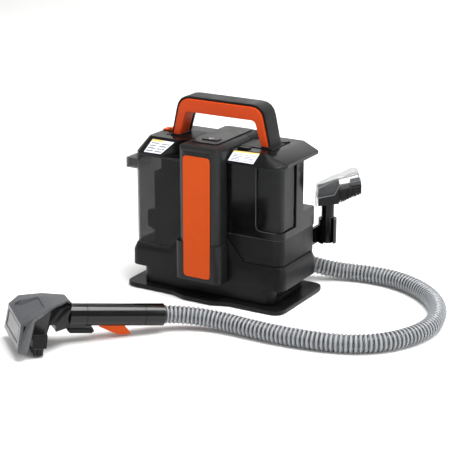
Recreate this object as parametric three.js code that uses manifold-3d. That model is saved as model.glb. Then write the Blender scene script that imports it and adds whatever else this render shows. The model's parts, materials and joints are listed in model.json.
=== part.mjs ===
// Portable spot washer: a powered base with two lift-off tanks, a suction hose and a hand tool.
// Millimetres. X runs to the right, Y to the back, Z up. The origin is on the floor, under the
// middle of the machine.
import * as THREE from 'three';
import { ConvexGeometry } from 'three/addons/geometries/ConvexGeometry.js';
import { mergeVertices } from 'three/addons/utils/BufferGeometryUtils.js';
import Module from 'manifold-3d';

const wasm = await Module();
wasm.setup();

// ---------------------------------------------------------------- driving dimensions

const gap = 0.4;                 // clearance between neighbouring pieces
const wall = 2.6;                // moulded wall thickness
const overlap = 1;               // how far a cutting shape runs past the face it cuts

const plate = { width: 305, depth: 161, thickness: 7, corner: 22, lift: 1.5, bulge: 11, bulgeHalf: 27 };
const pad = { radius: 9, height: 3.6, inset: 26 };
const foot = { inset: 25.5, frontInset: 16.5, rearInset: 21, corner: 20, height: 28 };
const belt = { inset: 4.5, frontInset: 14.5, rearInset: 18.5, corner: 17, height: 39,
  bevelRun: 5.5, bevelRise: 12.5 };
const gusset = { run: 31.5, rise: 36, frontRun: 22, frontRise: 12 };
const column = { half: 40, proud: 25, corner: 22, height: 194, topRound: 13, seam: 20, panelHalf: 25.5 };
const skirt = { extra: 4, corner: 14, depth: 25, rise: 28 };
const panel = { low: 8, high: 17, corner: 7, proud: 0.6, sunk: 1.5 };
const topPanel = { half: 25, front: 24, rear: 8, thickness: 1.5, corner: 7 };
const button = { half: 15, depth: 17, setback: 41, corner: 3, proud: 1.4, travel: 1.2 };
const arm = { reach: 102, front: -19, rear: 27, thickness: 8.4 };
const handle = { rise: 62, front: -16, depth: 40, barHeight: 27, footHalf: 96, topHalf: 79, legWidth: 17,
  round: 27, innerRound: 9, shell: 4.2, back: 9 };
const tank = { inset: 10.5, front: -60, rear: 60, corner: 14 };
const dirty = { creaseX: -91, creaseOut: 0.5, innerBack: 3 };
const spout = { reach: 23, front: -50, rear: -12, below: 10.5, height: 18 };
const dirtyLid = { height: 29.5, rim: 3.5, overhang: 1, drop: 0.8 };
const clean = { baseHeight: 44.6, ledge: 32, upperRear: 17, notchX: 98 };
const windowCut = { left: 95, rear: -8, low: 13, corner: 10 };
const cleanLid = { height: 19.5, rim: 6, overhang: 4.5, rearOverhang: 5.5, drop: 1.3 };
const hoseDiameter = 30;
const elbow = { radius: 18, bore: 12.5, flange: 22, plate: 4, length: 34 };
const grip = { radius: 17.8, bore: 15, cuff: 32, length: 94.3, neck: 27 };
const tool = { lipHalf: 56, wall: 3, brushLow: -52.2 };
const clip = { x: 147, y: 97, tube: 11, wall: 5, low: 79, high: 122 };
const stain = { top: 147.5, half: 16, turn: Math.PI / 6 };

// ---------------------------------------------------------------- worked-out levels and faces

const plateTop = plate.lift + plate.thickness;
const housingFront = -plate.depth / 2 + belt.frontInset;
const housingRear = plate.depth / 2 - belt.rearInset;
const footTop = plateTop + gap + foot.height;
const beltTop = footTop + belt.height;
const beltHalf = plate.width / 2 - belt.inset;
const footHalf = plate.width / 2 - foot.inset;
const columnFront = housingFront - column.proud;
const columnTop = beltTop + column.height;
const tankFloor = beltTop + gap;
const tankSide = plate.width / 2 - tank.inset;
const tankInner = column.half + 1.2;
const armTop = columnTop - 7.4;
const armLow = armTop - arm.thickness;
const dirtyTop = armTop - dirtyLid.drop - dirtyLid.height - gap;
const cleanBaseTop = tankFloor + clean.baseHeight;
const shellLow = cleanBaseTop + gap;
const shellTop = armTop - cleanLid.drop - cleanLid.height - gap;
const handleTop = columnTop + handle.rise;

// ---------------------------------------------------------------- shapes and solids

function outline(points, radius = 0) {
  // a closed outline through the points [x, y, own radius], each corner rounded
  const shape = new THREE.Shape();
  points.forEach(([x, y, own = radius], i) => {
    const corner = new THREE.Vector2(x, y);
    const before = new THREE.Vector2(...points.at(i - 1).slice(0, 2)).sub(corner);
    const after = new THREE.Vector2(...points[(i + 1) % points.length].slice(0, 2)).sub(corner);
    const reach = Math.min(own / Math.tan(before.angleTo(after) / 2), before.length() / 2.05,
      after.length() / 2.05);
    const start = before.setLength(reach).add(corner);
    const end = after.setLength(reach).add(corner);
    if (i === 0) shape.moveTo(start.x, start.y);
    else shape.lineTo(start.x, start.y);
    if (reach > 0) shape.quadraticCurveTo(x, y, end.x, end.y);
  });
  shape.closePath();
  return shape;
}

function rectangle(left, front, right, rear, radius = 0) {
  return outline([[left, front], [right, front], [right, rear], [left, rear]], radius);
}

function solid(geometry) {
  const bare = geometry.index ? geometry.toNonIndexed() : geometry.clone();
  bare.deleteAttribute('normal');
  bare.deleteAttribute('uv');
  const merged = mergeVertices(bare, 1e-4);
  return new wasm.Manifold(new wasm.Mesh({
    numProp: 3,
    vertProperties: new Float32Array(merged.attributes.position.array),
    triVerts: new Uint32Array(merged.index.array),
  }));
}

function extruded(shape, depth) {
  return new THREE.ExtrudeGeometry(shape, { depth, bevelEnabled: false, curveSegments: 4, steps: 1 });
}

function upright(shape, low, high) {
  // a plan outline carried up from low to high
  return solid(extruded(shape, high - low).translate(0, 0, low));
}

function alongY(shape, front, rear) {
  // an outline in X and Z carried from front to rear
  return solid(extruded(shape, rear - front).rotateX(Math.PI / 2).translate(0, rear, 0));
}

function alongX(shape, left, right) {
  // an outline in Y and Z carried from left to right
  const turn = new THREE.Matrix4().makeBasis(
    new THREE.Vector3(0, 1, 0), new THREE.Vector3(0, 0, 1), new THREE.Vector3(1, 0, 0));
  return solid(extruded(shape, right - left).applyMatrix4(turn).translate(left, 0, 0));
}

function block(left, right, front, rear, low, high) {
  const box = new THREE.BoxGeometry(right - left, rear - front, high - low);
  return solid(box.translate((left + right) / 2, (front + rear) / 2, (low + high) / 2));
}

function rod(axis, radius, from, to, centre, sides = 24) {
  // a round bar along one axis; centre gives its other two coordinates in order
  const bar = new THREE.CylinderGeometry(radius, radius, to - from, sides);
  const middle = (from + to) / 2;
  if (axis === 'z') bar.rotateX(Math.PI / 2).translate(centre[0], centre[1], middle);
  if (axis === 'y') bar.translate(centre[0], middle, centre[1]);
  if (axis === 'x') bar.rotateZ(Math.PI / 2).translate(middle, centre[0], centre[1]);
  return solid(bar);
}

function hull(points) {
  return solid(new ConvexGeometry(points.map((point) => new THREE.Vector3(...point))));
}

function between(lowShape, low, highShape, high) {
  // the solid between two plan outlines at two levels
  const ring = (shape, z) => shape.extractPoints(4).shape.map((p) => [p.x, p.y, z]);
  return hull([...ring(lowShape, low), ...ring(highShape, high)]);
}

function smooth(points) {
  return new THREE.CatmullRomCurve3(points.map((p) => new THREE.Vector3(...p)));
}

function swept(path, radius, steps, sides = 10) {
  // a round tube along a curve
  const ring = Array.from({ length: sides }, (_, i) => [
    radius * Math.cos((i / sides) * 2 * Math.PI), radius * Math.sin((i / sides) * 2 * Math.PI)]);
  return solid(new THREE.ExtrudeGeometry(outline(ring), { steps, extrudePath: path, bevelEnabled: false }));
}

function spring(centre, low, high, coilRadius, wire, turns) {
  const steps = turns * 9;
  const points = Array.from({ length: steps + 1 }, (_, i) => {
    const angle = (i / 9) * 2 * Math.PI;
    const z = low + wire + ((high - low - 2 * wire) * i) / steps;
    return [centre[0] + coilRadius * Math.cos(angle), centre[1] + coilRadius * Math.sin(angle), z];
  });
  return swept(smooth(points), wire, steps, 5);
}

// ---------------------------------------------------------------- materials and nodes

function finish(color, roughness, metalness = 0, opacity = 1) {
  return new THREE.MeshStandardMaterial({ color, roughness, metalness, opacity, transparent: opacity < 1 });
}

const finishes = {
  satinBlack: finish(0x1c1c1e, 0.5),
  glossBlack: finish(0x0c0c0e, 0.18),
  greyBlack: finish(0x2c2c2f, 0.42),
  orange: finish(0xd8481c, 0.4),
  smoke: finish(0x3a3a3e, 0.1, 0, 0.5),
  clear: finish(0xd9dadc, 0.1, 0, 0.35),
  hose: finish(0xb9babc, 0.3, 0, 0.7),
  rubber: finish(0x202022, 0.85),
  steel: finish(0xb4b6b8, 0.35, 1),
  board: finish(0x1d5a35, 0.6),
  bristle: finish(0x141415, 0.75),
};

const machine = new THREE.Group();

function add(name, shape, material, parent = machine) {
  const { numProp, vertProperties, triVerts } = shape.getMesh();
  const positions = new Float32Array((vertProperties.length / numProp) * 3);
  for (let i = 0; i < positions.length / 3; i += 1) {
    for (let k = 0; k < 3; k += 1) positions[3 * i + k] = vertProperties[numProp * i + k];
  }
  const geometry = new THREE.BufferGeometry();
  geometry.setAttribute('position', new THREE.BufferAttribute(positions, 3));
  geometry.setIndex(new THREE.BufferAttribute(new Uint32Array(triVerts), 1));
  geometry.computeVertexNormals();
  const mesh = new THREE.Mesh(geometry, material);
  mesh.name = name;
  parent.add(mesh);
  return mesh;
}

// ---------------------------------------------------------------- base plate and lower housing

function addBase() {
  const side = plate.width / 2;
  const front = -plate.depth / 2;
  const rear = plate.depth / 2;
  const outer = outline([
    [-side, front, plate.corner], [-plate.bulgeHalf - 28, front, 20],
    [-plate.bulgeHalf, front - plate.bulge, 24], [plate.bulgeHalf, front - plate.bulge, 24],
    [plate.bulgeHalf + 28, front, 20], [side, front, plate.corner],
    [side, rear, plate.corner], [-side, rear, plate.corner]]);
  let basePlate = upright(outer, plate.lift, plateTop);
  const places = [[-1, -1], [1, -1], [-1, 1], [1, 1]];
  places.forEach(([x, y], i) => {
    const centre = [x * (side - pad.inset), y * (rear - pad.inset)];
    const pocket = rod('z', pad.radius + gap, plate.lift - overlap, pad.height + gap, centre);
    basePlate = basePlate.subtract(pocket);
    add(`foot_pad_${i + 1}`, rod('z', pad.radius, 0, pad.height, centre), finishes.rubber);
  });
  add('base_plate', basePlate, finishes.satinBlack);
}

function footOutline(inset) {
  return rectangle(-footHalf + inset, -plate.depth / 2 + foot.frontInset + inset,
    footHalf - inset, plate.depth / 2 - foot.rearInset - inset, foot.corner - inset);
}

function beltOutline(inset) {
  return rectangle(-beltHalf + inset, housingFront + inset, beltHalf - inset, housingRear - inset,
    belt.corner - inset);
}

function gussetSolid(side) {
  // the sloping rib between the shelf and the column, bevelled at the front
  const inner = column.half + gap;
  const bevelled = housingFront + belt.bevelRun;
  const lowFront = beltTop - belt.bevelRise;
  const section = (y) => [
    [side * inner, y, beltTop - overlap], [side * (inner + gusset.run), y, beltTop],
    [side * inner, y, beltTop + gusset.rise]];
  return hull([
    ...section(bevelled), ...section(tank.rear),
    [side * inner, housingFront, lowFront], [side * (inner + gusset.frontRun), housingFront, lowFront],
    [side * inner, housingFront, beltTop + gusset.frontRise]]);
}

function addHousing() {
  const footLow = plateTop + gap;
  let housing = upright(footOutline(0), footLow, footTop + overlap)
    .add(upright(beltOutline(0), footTop, beltTop - belt.bevelRise))
    .add(between(beltOutline(0), beltTop - belt.bevelRise, beltOutline(belt.bevelRun), beltTop))
    .add(gussetSolid(-1)).add(gussetSolid(1));
  housing = housing
    .subtract(upright(footOutline(wall), footLow - overlap, footTop + wall + overlap))
    .subtract(upright(beltOutline(belt.bevelRun + wall), footTop + wall, beltTop - wall));
  const slots = 16;
  const pitch = 5.6;
  for (let i = 0; i < slots; i += 1) {
    const y = (i - (slots - 1) / 2) * pitch;
    housing = housing.subtract(block(footHalf - 2 * wall, footHalf + overlap, y - 1.5, y + 1.5,
      footLow + 7, footTop - 6));
  }
  add('lower_housing', housing, finishes.satinBlack);
}

// ---------------------------------------------------------------- column

function columnPlan(inset) {
  return outline([
    [-column.half + inset, columnFront + inset, column.corner - inset],
    [column.half - inset, columnFront + inset, column.corner - inset],
    [column.half - inset, column.seam + (inset ? 2 * overlap : 0)],
    [-column.half + inset, column.seam + (inset ? 2 * overlap : 0)]]);
}

function skirtPlan(inset) {
  const half = column.half + skirt.extra - inset;
  const rear = housingFront - gap + (inset ? overlap : 0);
  return outline([
    [-half, columnFront + inset, skirt.corner - inset], [half, columnFront + inset, skirt.corner - inset],
    [half, rear], [-half, rear]]);
}

function columnCrown(inset) {
  // what is left inside the rounded top edges of the column
  const top = columnTop - inset;
  const half = column.half - inset;
  const front = columnFront + inset;
  const low = footTop;
  const across = alongY(outline([
    [-half, low], [half, low], [half, top, column.topRound], [-half, top, column.topRound]]),
  columnFront - overlap, housingRear + overlap);
  const lengthways = alongX(outline([
    [front, low], [housingRear, low], [housingRear - inset, top, 5], [front, top, column.topRound + 4]]),
  -column.half - overlap, column.half + overlap);
  return across.intersect(lengthways);
}

function buttonHole(grow, low, high) {
  const front = columnFront + button.setback;
  return upright(rectangle(-button.half - grow, front - grow, button.half + grow, front + button.depth + grow,
    button.corner + grow), low, high);
}

function addColumn() {
  const outer = upright(columnPlan(0), tankFloor, columnTop).intersect(columnCrown(0))
    .add(upright(skirtPlan(0), footTop + 1, beltTop + skirt.rise));
  const inner = upright(columnPlan(wall), footTop + 1 + wall, columnTop)
    .intersect(columnCrown(wall))
    .add(upright(skirtPlan(wall + skirt.extra), footTop + 1 + wall, beltTop + skirt.rise - wall));
  const panelLow = footTop + panel.low;
  const panelHigh = columnTop - panel.high;
  const panelShape = (grow) => rectangle(-column.panelHalf - grow, panelLow - grow, column.panelHalf + grow,
    panelHigh + grow, panel.corner + grow);
  const recess = alongY(panelShape(gap), columnFront - overlap, columnFront + panel.sunk + gap);
  const shell = outer.subtract(inner).subtract(recess)
    .subtract(buttonHole(gap, columnTop - 2 * wall, columnTop + overlap));
  add('column_shell', shell, finishes.greyBlack);
  add('column_panel', alongY(panelShape(0), columnFront - panel.proud, columnFront + panel.sunk),
    finishes.orange);

  const rearPlan = (inset) => outline([
    [-column.half + inset, column.seam + gap - (inset ? overlap : 0)],
    [column.half - inset, column.seam + gap - (inset ? overlap : 0)],
    [column.half - inset, housingRear - inset, 12 - inset],
    [-column.half + inset, housingRear - inset, 12 - inset]]);
  let cover = upright(rearPlan(0), tankFloor, columnTop).intersect(columnCrown(0))
    .subtract(upright(rearPlan(wall), tankFloor - overlap, columnTop).intersect(columnCrown(wall)));
  const louvres = 9;
  for (let i = 0; i < louvres; i += 1) {
    const z = columnTop - 50 - i * 8;
    cover = cover.subtract(block(-24, 24, housingRear - 2 * wall, housingRear + overlap, z, z + 3.4));
  }
  add('rear_cover', cover, finishes.satinBlack);

  const plateShape = rectangle(-topPanel.half, columnFront + topPanel.front, topPanel.half,
    housingRear - topPanel.rear, topPanel.corner);
  add('top_panel', upright(plateShape, columnTop + gap, columnTop + gap + topPanel.thickness)
    .subtract(buttonHole(gap, columnTop, columnTop + 3 * overlap)), finishes.greyBlack);

  const buttonTop = columnTop + gap + topPanel.thickness + button.proud;
  const buttonMiddle = columnFront + button.setback + button.depth / 2;
  const stemLow = columnTop - 12;
  add('power_button', buttonHole(0, columnTop - 1.5, buttonTop)
    .add(block(-4, 4, buttonMiddle - 4, buttonMiddle + 4, stemLow, columnTop)), finishes.greyBlack);
  add('power_switch', block(-10, 10, buttonMiddle - 8, buttonMiddle + 8, stemLow - 12,
    stemLow - button.travel - gap), finishes.rubber);
}

// ---------------------------------------------------------------- works inside the column

function addWorks() {
  const motorLow = tankFloor + 28;
  const motorHigh = motorLow + 78;
  const fanHigh = motorHigh + 24;
  add('suction_motor', rod('z', 29, motorLow, motorHigh, [0, -22])
    .add(rod('z', 33, motorHigh - 8, motorHigh, [0, -22])), finishes.steel);
  const rotor = rod('z', 27, motorHigh + gap, motorHigh + 3, [0, -22], 28)
    .add(rod('z', 6, motorHigh + gap, fanHigh - 2, [0, -22], 12));
  let impeller = rotor;
  const blades = 8;
  for (let i = 0; i < blades; i += 1) {
    const blade = block(5, 25, -0.9, 0.9, motorHigh + 2, fanHigh - 4)
      .rotate([0, 0, (i * 360) / blades]).translate([0, -22, 0]);
    impeller = impeller.add(blade);
  }
  add('suction_fan', impeller, finishes.steel);
  add('fan_cover', rod('z', 33, motorHigh + gap, fanHigh, [0, -22], 28)
    .subtract(rod('z', 29.5, motorHigh - overlap, fanHigh - 2, [0, -22], 28))
    .subtract(rod('z', 12, fanHigh - 3, fanHigh + overlap, [0, -22], 20)), finishes.rubber);
  add('control_board', block(-30, 30, housingRear - 14, housingRear - 12, tankFloor + 12, tankFloor + 92),
    finishes.board);
  add('water_pump', block(60, 104, -28, 12, footTop - 20, footTop + 22)
    .add(rod('x', 9, 104 - overlap, 116, [-8, footTop + 2], 16)), finishes.rubber);
}

// ---------------------------------------------------------------- carry handle

function handleOutline(grow) {
  const foot = armTop + gap;
  return outline([
    [-handle.footHalf + grow, foot], [-handle.topHalf + grow - 2, handleTop - grow, handle.round - grow],
    [handle.topHalf - grow + 2, handleTop - grow, handle.round - grow], [handle.footHalf - grow, foot]]);
}

function handleOpening(grow) {
  const foot = armTop - overlap;
  const barLow = handleTop - handle.barHeight + grow;
  const lean = handle.footHalf - handle.topHalf - 4;
  return outline([
    [-handle.footHalf + handle.legWidth - grow, foot],
    [-handle.footHalf + handle.legWidth + lean - grow, barLow, handle.innerRound],
    [handle.footHalf - handle.legWidth - lean + grow, barLow, handle.innerRound],
    [handle.footHalf - handle.legWidth + grow, foot]]);
}

function addHandle() {
  const rear = handle.front + handle.depth;
  const split = rear - handle.back;
  const opening = (grow) => alongY(handleOpening(grow), handle.front - 5, rear + 5);
  const liner = alongY(handleOutline(handle.shell), handle.front, split).subtract(opening(0));
  const shell = alongY(handleOutline(0), handle.front + 2, rear).subtract(opening(0))
    .subtract(alongY(handleOutline(handle.shell - gap), handle.front - 5, split + gap));
  add('handle_shell', shell, finishes.satinBlack);
  add('handle_grip', liner, finishes.orange);
  for (const [name, side] of [['handle_arm_left', -1], ['handle_arm_right', 1]]) {
    const ends = [side * (column.half + gap), side * arm.reach].sort((a, b) => a - b);
    add(name, alongY(outline([[ends[0], armLow, 2], [ends[1], armLow, 2], [ends[1], armTop, 2],
      [ends[0], armTop, 2]]), arm.front, arm.rear), finishes.satinBlack);
  }
}

function armChannel(side) {
  // the notch in a lid that the handle's arm lies in
  const ends = [side * (column.half - overlap), side * (arm.reach + 1.5)].sort((a, b) => a - b);
  return block(...ends, arm.front - 1, arm.rear + 1, armLow - gap, columnTop);
}

// ---------------------------------------------------------------- dirty water tank, on the left

function dirtyPlan(inset) {
  return outline([
    [-tankSide + inset, tank.front + inset, tank.corner - inset],
    [dirty.creaseX, tank.front - dirty.creaseOut + inset],
    [-tankInner - inset, tank.front + dirty.innerBack + inset],
    [-tankInner - inset, tank.rear - inset, 3], [-tankSide + inset, tank.rear - inset, tank.corner - inset]]);
}

function tankProfile(side, inset, outer, high) {
  // the tank seen from the front, its inner bottom corner cut to seat on the gusset
  const low = tankFloor + inset;
  const inner = tankInner + inset;
  const slope = gusset.rise / gusset.run;
  const seat = column.half + gap + gusset.run + 1.2 + inset * 0.7;
  return outline([
    [side * outer, low], [side * outer, high], [side * inner, high],
    [side * inner, low + slope * (seat - inner)], [side * seat, low]].reverse());
}

function addDirtyTank() {
  const body = (inset, high) => upright(dirtyPlan(inset), tankFloor - overlap, high)
    .intersect(alongY(tankProfile(-1, inset, tankSide + overlap, high), tank.front - 5, tank.rear + 5));
  const spoutTop = dirtyTop - spout.below;
  const spoutBox = (inset, reach) => block(-tankSide - spout.reach + inset, -tankSide + reach,
    spout.front + inset, spout.rear - inset, spoutTop - spout.height + inset, spoutTop - inset);
  const shell = body(0, dirtyTop).add(spoutBox(0, wall - 0.5))
    .subtract(body(wall, dirtyTop + overlap)).subtract(spoutBox(2, 2 * wall));
  add('dirty_tank', shell, finishes.smoke);

  const lidLow = dirtyTop + gap;
  const rimHigh = lidLow + dirtyLid.rim;
  const lidTop = lidLow + dirtyLid.height;
  const side = -tankSide - dirtyLid.overhang;
  const front = tank.front - dirtyLid.overhang;
  const rear = tank.rear + dirtyLid.overhang;
  const inner = -tankInner;
  const rim = [[side, front + 12], [side + 10, front], [dirty.creaseX, front - 0.5], [inner, front + 3],
    [inner, rear], [side + 8, rear], [side, rear - 8]];
  const top = [[side + 17, front + 27], [side + 22, front + 22], [inner, front + 21.2],
    [inner, rear - 2], [side + 19, rear - 2]];
  // beside the column the sloping front is cut back to an upright face, down to the rim
  const cutBack = (grow, low) => upright(outline([
    [dirty.creaseX - grow, front - 5], [dirty.creaseX - grow, front - 0.5 + grow],
    [inner + 1, arm.front - 2 + grow], [inner + 1, front - 5]]), low, columnTop);
  const lid = hull([...rim.map((p) => [...p, lidLow]), ...rim.map((p) => [...p, rimHigh]),
    ...top.map((p) => [...p, lidTop])])
    .subtract(armChannel(-1)).subtract(cutBack(0, rimHigh))
    .subtract(block(side + 14, inner - 5, front + 19, rear - 7, lidLow - overlap, armLow - gap - 3)
      .subtract(cutBack(wall, lidLow - 2 * overlap)));
  add('dirty_tank_lid', lid, finishes.greyBlack);

  const hinge = side + 17;
  add('dirty_tank_latch', alongY(outline([
    [hinge, lidTop + gap], [hinge + 21, lidTop + gap], [hinge + 21, lidTop + 5.4, 1],
    [hinge + 14, lidTop + 5.4, 1], [hinge + 11, lidTop + 2.4], [hinge, lidTop + 2]]), 5, 23),
  finishes.orange);

  const pipe = { x: -101, y: -38, half: 8, top: dirtyTop - 28 };
  const pipeLow = tankFloor + wall + gap;
  add('dirty_tank_pipe', block(pipe.x - pipe.half, pipe.x + pipe.half, pipe.y - 11, pipe.y + 11,
    pipeLow, pipe.top)
    .subtract(block(pipe.x - pipe.half + 2, pipe.x + pipe.half - 2, pipe.y - 9, pipe.y + 9, pipeLow + 6,
      pipe.top + overlap))
    .add(block(pipe.x - 21, pipe.x - pipe.half + 1, pipe.y - 3, pipe.y + 3, tankFloor + 20, tankFloor + 22)),
  finishes.rubber);
  add('float', rod('z', 9, tankFloor + 26, tankFloor + 54, [pipe.x - 19.5, pipe.y], 16), finishes.rubber);
}

// ---------------------------------------------------------------- clean water tank, on the right

function cleanPlan(inset, upper) {
  const rear = upper ? clean.upperRear - inset : tank.rear - inset;
  const corners = [
    [tankInner + inset, tank.front + inset], [tankSide - inset, tank.front + inset, 18 - inset],
    [tankSide - inset, rear, upper ? 1.5 : 6]];
  if (upper) corners.push([clean.notchX - inset, rear, 3], [clean.notchX - inset, tank.rear - inset, 3]);
  corners.push([tankInner + inset, tank.rear - inset]);
  return outline(corners);
}

function addCleanTank() {
  const base = upright(cleanPlan(1, false), tankFloor - overlap, cleanBaseTop)
    .intersect(alongY(tankProfile(1, 0, tankSide, cleanBaseTop), tank.front - 5, tank.rear + 5))
    .subtract(block(column.half + 24, tankSide - 20, -38, 38, tankFloor + 16, cleanBaseTop + overlap))
    .subtract(rod('z', 7, tankFloor - 2, tankFloor + 17, [96, 0], 16));
  add('clean_tank_base', base, finishes.satinBlack);

  const ledgeTop = shellLow + clean.ledge;
  const hollow = upright(cleanPlan(wall, false), shellLow + 4, ledgeTop - wall)
    .add(upright(cleanPlan(wall, true), shellLow + 4, shellTop + overlap));
  const glassLow = shellLow + windowCut.low;
  const frontCut = alongY(outline([
    [windowCut.left, glassLow, windowCut.corner], [tankSide + 5, glassLow], [tankSide + 5, shellTop + 5],
    [windowCut.left, shellTop + 5]]), tank.front - 5, tank.front + 20);
  const sideCut = block(tankSide - 8, tankSide + 5, tank.front + 19, windowCut.rear, glassLow, shellTop + 5);
  const shell = upright(cleanPlan(0, false), shellLow, ledgeTop)
    .add(upright(cleanPlan(0, true), shellLow, shellTop))
    .subtract(hollow).subtract(frontCut).subtract(sideCut);
  add('clean_tank_shell', shell, finishes.glossBlack);

  const inset = wall + gap;
  const cleanBox = (extra) => outline([
    [tankInner + inset + extra, tank.front + inset + extra],
    [tankSide - inset - extra, tank.front + inset + extra, 15 - extra],
    [tankSide - inset - extra, clean.upperRear - inset - extra, 1],
    [tankInner + inset + extra, clean.upperRear - inset - extra]]);
  const tankLow = shellLow + 4 + gap;
  add('clean_tank', upright(cleanBox(0), tankLow, shellTop - 1)
    .subtract(upright(cleanBox(2.2), tankLow + 2.2, shellTop + overlap))
    .subtract(rod('z', 5, tankLow - overlap, tankLow + 4, [96, -6], 16)), finishes.smoke);
  add('clean_tank_pipe', block(tankSide - 16, tankSide - 7, -36, -14, tankLow + 2.2 + gap, shellTop - 2),
    finishes.rubber);
  add('tank_valve', rod('z', 8, tankFloor + 28, tankFloor + 32, [96, 0], 18)
    .add(rod('z', 2.5, tankFloor + 2, tankFloor + 29, [96, 0], 12)), finishes.rubber);
  add('valve_spring', spring([96, 0], tankFloor + 32.4, cleanBaseTop - gap, 5, 0.6, 3), finishes.steel);

  const lidLow = shellTop + gap;
  const rimHigh = lidLow + cleanLid.rim;
  const lidTop = lidLow + cleanLid.height;
  const side = tankSide + 1.5;
  const front = tank.front - cleanLid.overhang;
  const rear = tank.rear + cleanLid.rearOverhang;
  const rim = [[tankInner, front], [side - 26, front], [side - 10, front + 8], [side, front + 22],
    [side, rear], [tankInner, rear]];
  const top = [[tankInner, front + 19], [side - 43, front + 23], [side - 30, front + 35],
    [side - 27, front + 41], [side - 28, rear], [tankInner, rear]];
  const rimLift = [1.5, 1.5, 3, cleanLid.rim, cleanLid.rim, cleanLid.rim];
  const lid = hull([...rim.map((p) => [...p, lidLow]), ...rim.map((p, i) => [...p, lidLow + rimLift[i]]),
    ...top.map((p) => [...p, lidTop])])
    .subtract(armChannel(1))
    .subtract(block(tankInner + 5, side - 12, front + 12, rear - 8, lidLow - overlap, rimHigh));
  add('clean_tank_lid', lid, finishes.satinBlack);
  add('fill_cap', rod('z', 11.5, lidTop + gap, lidTop + 2.2, [90, 41], 28), finishes.greyBlack);
  add('clean_tank_latch', alongX(outline([[-38, lidTop + gap], [-24, lidTop + gap], [-24, lidTop + 2.4, 1],
    [-33, lidTop + 2.4], [-38, lidTop + 3.6, 1]]), tankInner + 5.8, tankInner + 24.8), finishes.satinBlack);
}

// ---------------------------------------------------------------- hose

const toolPose = { end: [18.7, -223.5, 27.4], turn: 0.8657, tilt: 0.1255 };

// the hose's middle line, from the elbow to the hand tool, lying on the floor
const hosePoints = [
  [66.4, 92.2, 42], [86, 101.6, 36.7], [106, 111.5, 29.6], [127, 122.5, 22.8], [150, 134, 17.9],
  [177, 143.5, 15.8], [212, 148.6, 15.5], [254, 146, 15.5], [300, 128, 15.5], [341, 96, 15.5],
  [371, 54, 15.5], [388, 8, 15.5], [392, -38, 15.5], [381, -84, 15.5], [356, -125, 15.5], [318, -154, 15.5],
  [272, -169.5, 15.5], [226, -176.5, 15.5], [182, -179, 15.6], [145, -179.2, 16.2], [112, -179.4, 17.6],
  [86, -183.4, 19.5], [61.5, -191.6, 21.9], [39.5, -204.2, 24.4], [23.6, -217.8, 26.6], toolPose.end,
];

function addHose() {
  // the elbow leaves the back wall and turns to meet the hose
  const start = new THREE.Vector3(...hosePoints[0]);
  const lead = start.clone().sub(new THREE.Vector3(...hosePoints[1])).normalize();
  const back = (distance) => start.clone().addScaledVector(lead, distance);
  const wallFace = housingRear + gap;
  const knee = back(elbow.length);
  const root = new THREE.Vector3(knee.x, wallFace + overlap, knee.z);
  const bend = new THREE.QuadraticBezierCurve3(root, knee, back(gap));
  const bore = new THREE.CurvePath();
  bore.add(new THREE.LineCurve3(root.clone().add(new THREE.Vector3(0, -3, 0)), root));
  bore.add(bend);
  bore.add(new THREE.LineCurve3(back(gap), back(-3)));
  const flange = alongY(rectangle(root.x - elbow.flange, root.z - elbow.flange, root.x + elbow.flange,
    root.z + elbow.flange, 8), wallFace, wallFace + elbow.plate);
  add('hose_elbow', flange.add(swept(bend, elbow.radius, 8, 20)).subtract(swept(bore, elbow.bore, 10, 14)),
    finishes.satinBlack);
  add('hose', swept(smooth(hosePoints), hoseDiameter / 2, 34, 12), finishes.hose);
}

// ---------------------------------------------------------------- hand tool
// Its own frame: X along the grip from the nozzle to the hose end, at zero there, and Z up.

const toolGroup = new THREE.Group();
toolGroup.position.set(...toolPose.end);
toolGroup.rotation.set(0, toolPose.tilt, toolPose.turn, 'ZYX');
machine.add(toolGroup);

function addGrip() {
  const bored = (from, to) => rod('x', grip.radius, from, to, [0, 0], 28)
    .subtract(rod('x', grip.bore, from - overlap, to + overlap, [0, 0], 24));
  const cuffFront = -gap - grip.cuff;
  const gripRear = cuffFront - gap;
  const gripFront = gripRear - grip.length;
  add('grip_cuff', bored(cuffFront, -gap), finishes.glossBlack, toolGroup);

  const pivot = { x: gripFront + 23, z: -9.5 };
  const slot = block(pivot.x - 6, pivot.x + 60, -6.6, 6.6, -grip.radius - overlap, -6);
  add('grip_tube', bored(gripFront, gripRear).subtract(slot), finishes.glossBlack, toolGroup);
  const lever = outline([
    [pivot.x - 4, pivot.z - 3, 1], [pivot.x, -grip.radius - 1], [pivot.x + 30, -31.4, 2],
    [pivot.x + 53, -30.8, 2], [pivot.x + 49, -25.5], [pivot.x + 42, -18], [pivot.x + 36, pivot.z - 2],
    [pivot.x, pivot.z + 4], [pivot.x - 4, pivot.z + 3, 2]]);
  add('trigger', alongY(lever, -6, 6).subtract(rod('y', 1.9, -7, 7, [pivot.x, pivot.z], 12)),
    finishes.orange, toolGroup);
  add('trigger_pin', rod('y', 1.5, -8.4, 8.4, [pivot.x, pivot.z], 12), finishes.steel, toolGroup);
  add('trigger_spring', spring([pivot.x + 30, 0], pivot.z, 13, 3.2, 0.5, 5), finishes.steel, toolGroup);
  return gripFront;
}

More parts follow.
